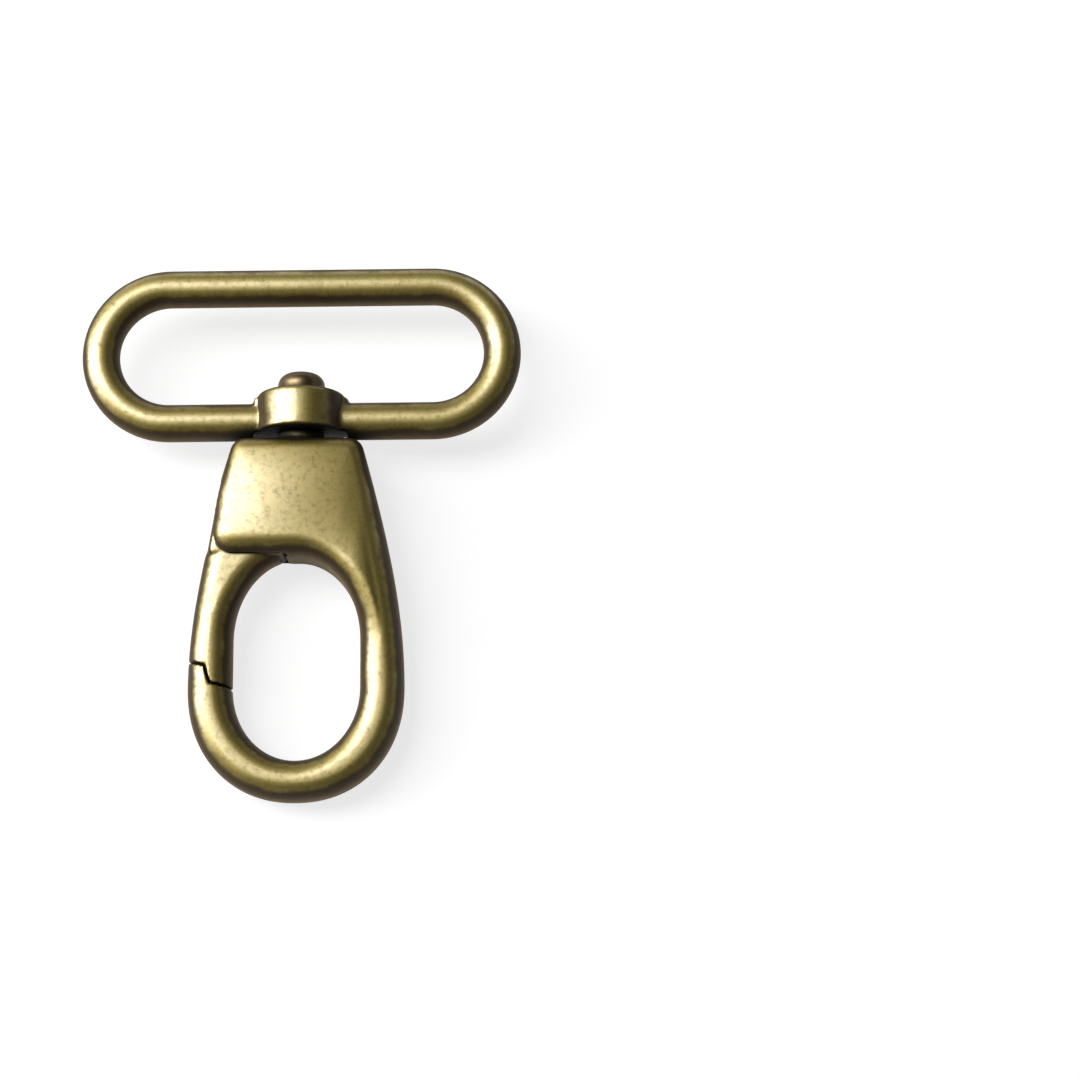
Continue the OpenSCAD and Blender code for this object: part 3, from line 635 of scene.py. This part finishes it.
def antique_metal(name, rubbed, toned, dark, rough, grain, gloss=1.5):
    """Plated metal, toned dark all over and rubbed back on its front and back faces.
    The tone stays dark on the side walls as painted shade, in the hollows as patina and painted
    shade, and in the grain's pits; the walls carry a painted reflection of the table."""
    mat, tree, shader = new_material(name)
    coords = tree.nodes.new("ShaderNodeTexCoord")
    cloud, mottle, speck = (noise(tree, coords.outputs["Object"], *values)
                            for values in (CLOUD, MOTTLE, SPECK))
    # Rubbed bright where the surface faces the front or the back and isn't in a hollow: wear on the
    # faces, and painted shade on the shoulders and side walls that stay dark
    axes = tree.nodes.new("ShaderNodeSeparateXYZ")
    feed(tree, axes.inputs["Vector"], coords.outputs["Normal"])
    facing = calc(tree, "ABSOLUTE", axes.outputs["Z"])
    facing = calc(tree, "ADD", facing, remap(tree, cloud, *CLOUD_RANGE, -UNEVEN, UNEVEN))
    # Painted shade with patina: ambient occlusion finds the hollows and the gap under the collar
    hollow = tree.nodes.new("ShaderNodeAmbientOcclusion")
    hollow.samples = HOLLOW_SAMPLES
    hollow.inputs["Distance"].default_value = HOLLOW_REACH
    shade = remap(tree, hollow.outputs["AO"], *HOLLOW_RANGE, 1.0, 0.0)
    # Painted shade: the rubbed brightness falls off on shoulders and walls that turn away from the
    # front and back
    wear_and_wall_shade = calc(tree, "MULTIPLY", remap(tree, facing, *RUB_AND_WALL_SHADE_RANGE),
               remap(tree, shade, 0.0, 1.0, 1.0, 0.0))
    # Colour: the tone, a little lighter on the walls as a painted reflection of the white table,
    # then the rubbed metal, its patina and flecks, and the dark of the hollows, which is patina and
    # painted shade
    # Painted reflection: the side walls are lightened as if they mirrored the white table
    wall = remap(tree, facing, *WALL_REFLECTION_RANGE, 1.0, 0.0)
    toned = mix(tree, wall, toned, tuple(WALL_PAINTED_REFLECTION * c for c in toned))
    tone = mix(tree, wear_and_wall_shade, toned, rubbed)
    patina = remap(tree, mottle, *PATINA_RANGE, 0.0, MOST_TARNISH)
    fleck = remap(tree, speck, *FLECK_RANGE, 0.0, MOST_TARNISH)
    for share in (patina, fleck):
        tone = mix(tree, share, tone, toned)
    # Painted shade with patina: the hollows go towards the dark colour
    tone = mix(tree, calc(tree, "MULTIPLY", shade, HOLLOW_PATINA_AND_SHADE), tone, dark)
    feed(tree, shader.inputs["Base Color"], tone)
    # The satin lacquer lasts on the rubbed faces, apart from where they are tarnished
    tarnish = calc(tree, "MAXIMUM", patina, fleck)
    worn = calc(tree, "SUBTRACT", 1.0, calc(tree, "MULTIPLY", tarnish, COAT_LOSS))
    coat = remap(tree, calc(tree, "MULTIPLY", wear_and_wall_shade, worn), 0.0, 1.0, COAT_LEAST, 1.0)
    feed(tree, shader.inputs["Coat Weight"], coat)
    shader.inputs["Coat IOR"].default_value = gloss
    shader.inputs["Coat Roughness"].default_value = COAT_ROUGH
    feed(tree, shader.inputs["Metallic"], remap(tree, wear_and_wall_shade, 0.0, 1.0, TONED_METALLIC, 1.0))
    wear = remap(tree, mottle, *WEAR_RANGE, *WEAR_SPREAD)
    base = remap(tree, wear_and_wall_shade, 0.0, 1.0, rough + TONED_ROUGHER, rough)
    feed(tree, shader.inputs["Roughness"], calc(tree, "ADD", base, wear))
    height = calc(tree, "ADD", mottle, calc(tree, "MULTIPLY", speck, SPECK_HEIGHT))
    bump = tree.nodes.new("ShaderNodeBump")
    bump.inputs["Strength"].default_value = grain
    bump.inputs["Distance"].default_value = BUMP_DEPTH
    feed(tree, bump.inputs["Height"], height)
    feed(tree, shader.inputs["Normal"], bump.outputs["Normal"])
    return mat


# Each finish's dark colour is where its hollows go: patina and painted shade
brass = antique_metal("cast_antique_brass", rubbed=(0.52, 0.395, 0.060),
                      toned=(0.058, 0.036, 0.010), dark=(0.012, 0.009, 0.004),
                      rough=0.52, grain=0.6, gloss=2.6)
rivet_metal = antique_metal("plated_rivet", rubbed=(0.30, 0.21, 0.10),
                            toned=(0.09, 0.060, 0.026), dark=(0.03, 0.024, 0.014),
                            rough=0.40, grain=0.25)
spring_steel = antique_metal("spring_wire", rubbed=(0.55, 0.55, 0.56),
                             toned=(0.30, 0.30, 0.31), dark=(0.10, 0.10, 0.10),
                             rough=0.28, grain=0.2)

PIECES = [(hook_casting, "hook_body", "hook", brass, "cast_antique_brass"),
          (gate_casting, "gate", "gate", brass, "cast_antique_brass"),
          (ring_casting, "swivel_ring", "ring", brass, "cast_antique_brass"),
          (turned_rivet, "swivel_rivet", "hook", rivet_metal, "plated_rivet"),
          (pressed_pin, "gate_pin", "hook", rivet_metal, "plated_rivet")]
for build, node, body, material, slot in PIECES:
    piece = place(build(), LYING)
    piece.data.materials.clear()
    piece.data.materials.append(material)
    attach(piece, body)
    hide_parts(node)

spring = place(torsion_spring(), LYING)
spring.data.materials.append(spring_steel)
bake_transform(spring)
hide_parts("gate_spring")

# The white table and the low backdrop round it, in metres. The glow is what the camera, gloss and
# glass see on top of what the lamps light.
TABLE_R, BACKDROP_H, STAGE_STEPS = 3.0, 0.6, 96
STAGE_GREY, STAGE_ROUGH, TABLE_GLOW, BACKDROP_GLOW = 0.33, 0.9, 0.78, 0.9


def stage_material(name, glow):
    mat, tree, shader = new_material(name)
    shader.inputs["Base Color"].default_value = (STAGE_GREY, STAGE_GREY, STAGE_GREY, 1)
    shader.inputs["Roughness"].default_value = STAGE_ROUGH
    shader.inputs["Specular IOR Level"].default_value = 0.0
    path = tree.nodes.new("ShaderNodeLightPath")
    seen = calc(tree, "MAXIMUM", path.outputs["Is Camera Ray"], path.outputs["Is Glossy Ray"])
    seen = calc(tree, "MAXIMUM", seen, path.outputs["Is Transmission Ray"])
    shader.inputs["Emission Color"].default_value = (1, 1, 1, 1)
    feed(tree, shader.inputs["Emission Strength"], calc(tree, "MULTIPLY", seen, glow))
    return mat


floor = lathe("floor", [(0, 0), (TABLE_R, 0)], STAGE_STEPS)
floor.data.materials.append(stage_material("table", TABLE_GLOW))
rim = [(TABLE_R * cos(2 * pi * k / STAGE_STEPS), TABLE_R * sin(2 * pi * k / STAGE_STEPS), z)
       for z in (0, BACKDROP_H) for k in range(STAGE_STEPS)]
wall = add_mesh("backdrop", rim, [(k, (k + 1) % STAGE_STEPS, STAGE_STEPS + (k + 1) % STAGE_STEPS,
                                   STAGE_STEPS + k) for k in range(STAGE_STEPS)])
wall.data.materials.append(stage_material("backdrop", BACKDROP_GLOW))

WORLD_LEVEL = 0.02
world = bpy.data.worlds.new("studio")
bpy.context.scene.world = world
world.use_nodes = True
world.node_tree.nodes["Background"].inputs["Color"].default_value = (
    WORLD_LEVEL, WORLD_LEVEL, WORLD_LEVEL, 1)


def softbox(name, toward, far, size, watts):
    """An area lamp that looks at the hook from a given direction, with its second side along Y."""
    lamp = bpy.data.objects.new(name, bpy.data.lights.new(name, "AREA"))
    lamp.data.energy = watts
    lamp.data.shape = "RECTANGLE"
    lamp.data.size, lamp.data.size_y = size
    aim = Vector(toward).normalized()
    across = Vector((0, 1, 0)).cross(aim).normalized()
    up = aim.cross(across)
    lamp.matrix_world = Matrix.Translation(aim * far) @ Matrix(
        [[up[i], across[i], aim[i]] for i in range(3)]).to_4x4()
    bpy.context.scene.collection.objects.link(lamp)


# A strip softbox high on the left, a little towards the loop, and a weaker one low beside it
softbox("key", toward=(-0.58, 0.22, 0.78), far=0.8, size=(0.40, 0.78), watts=6.9)
softbox("side", toward=(-0.93, 0.10, 0.35), far=0.8, size=(0.40, 0.40), watts=2.6)

# The camera looks down on the hook from its heel's side, with the hook in the frame's left half
CAMERA_AT = (0.025026, -0.075743, 0.256045)
CAMERA_DOWN, CAMERA_TURN, CAMERA_ROLL = 73.53, 0.235, -0.883
camera = bpy.data.objects.new("camera", bpy.data.cameras.new("camera"))
camera.data.lens, camera.data.sensor_width = 85, 36
camera.data.clip_start, camera.data.clip_end = 0.01, 10
tilt = Euler((radians(90 - CAMERA_DOWN), 0, radians(CAMERA_TURN))).to_matrix().to_4x4()
camera.matrix_world = (Matrix.Translation(CAMERA_AT) @ tilt
                       @ Matrix.Rotation(radians(CAMERA_ROLL), 4, "Z"))
bpy.context.scene.collection.objects.link(camera)
bpy.context.scene.camera = camera
bpy.context.scene.view_settings.view_transform = "Standard"
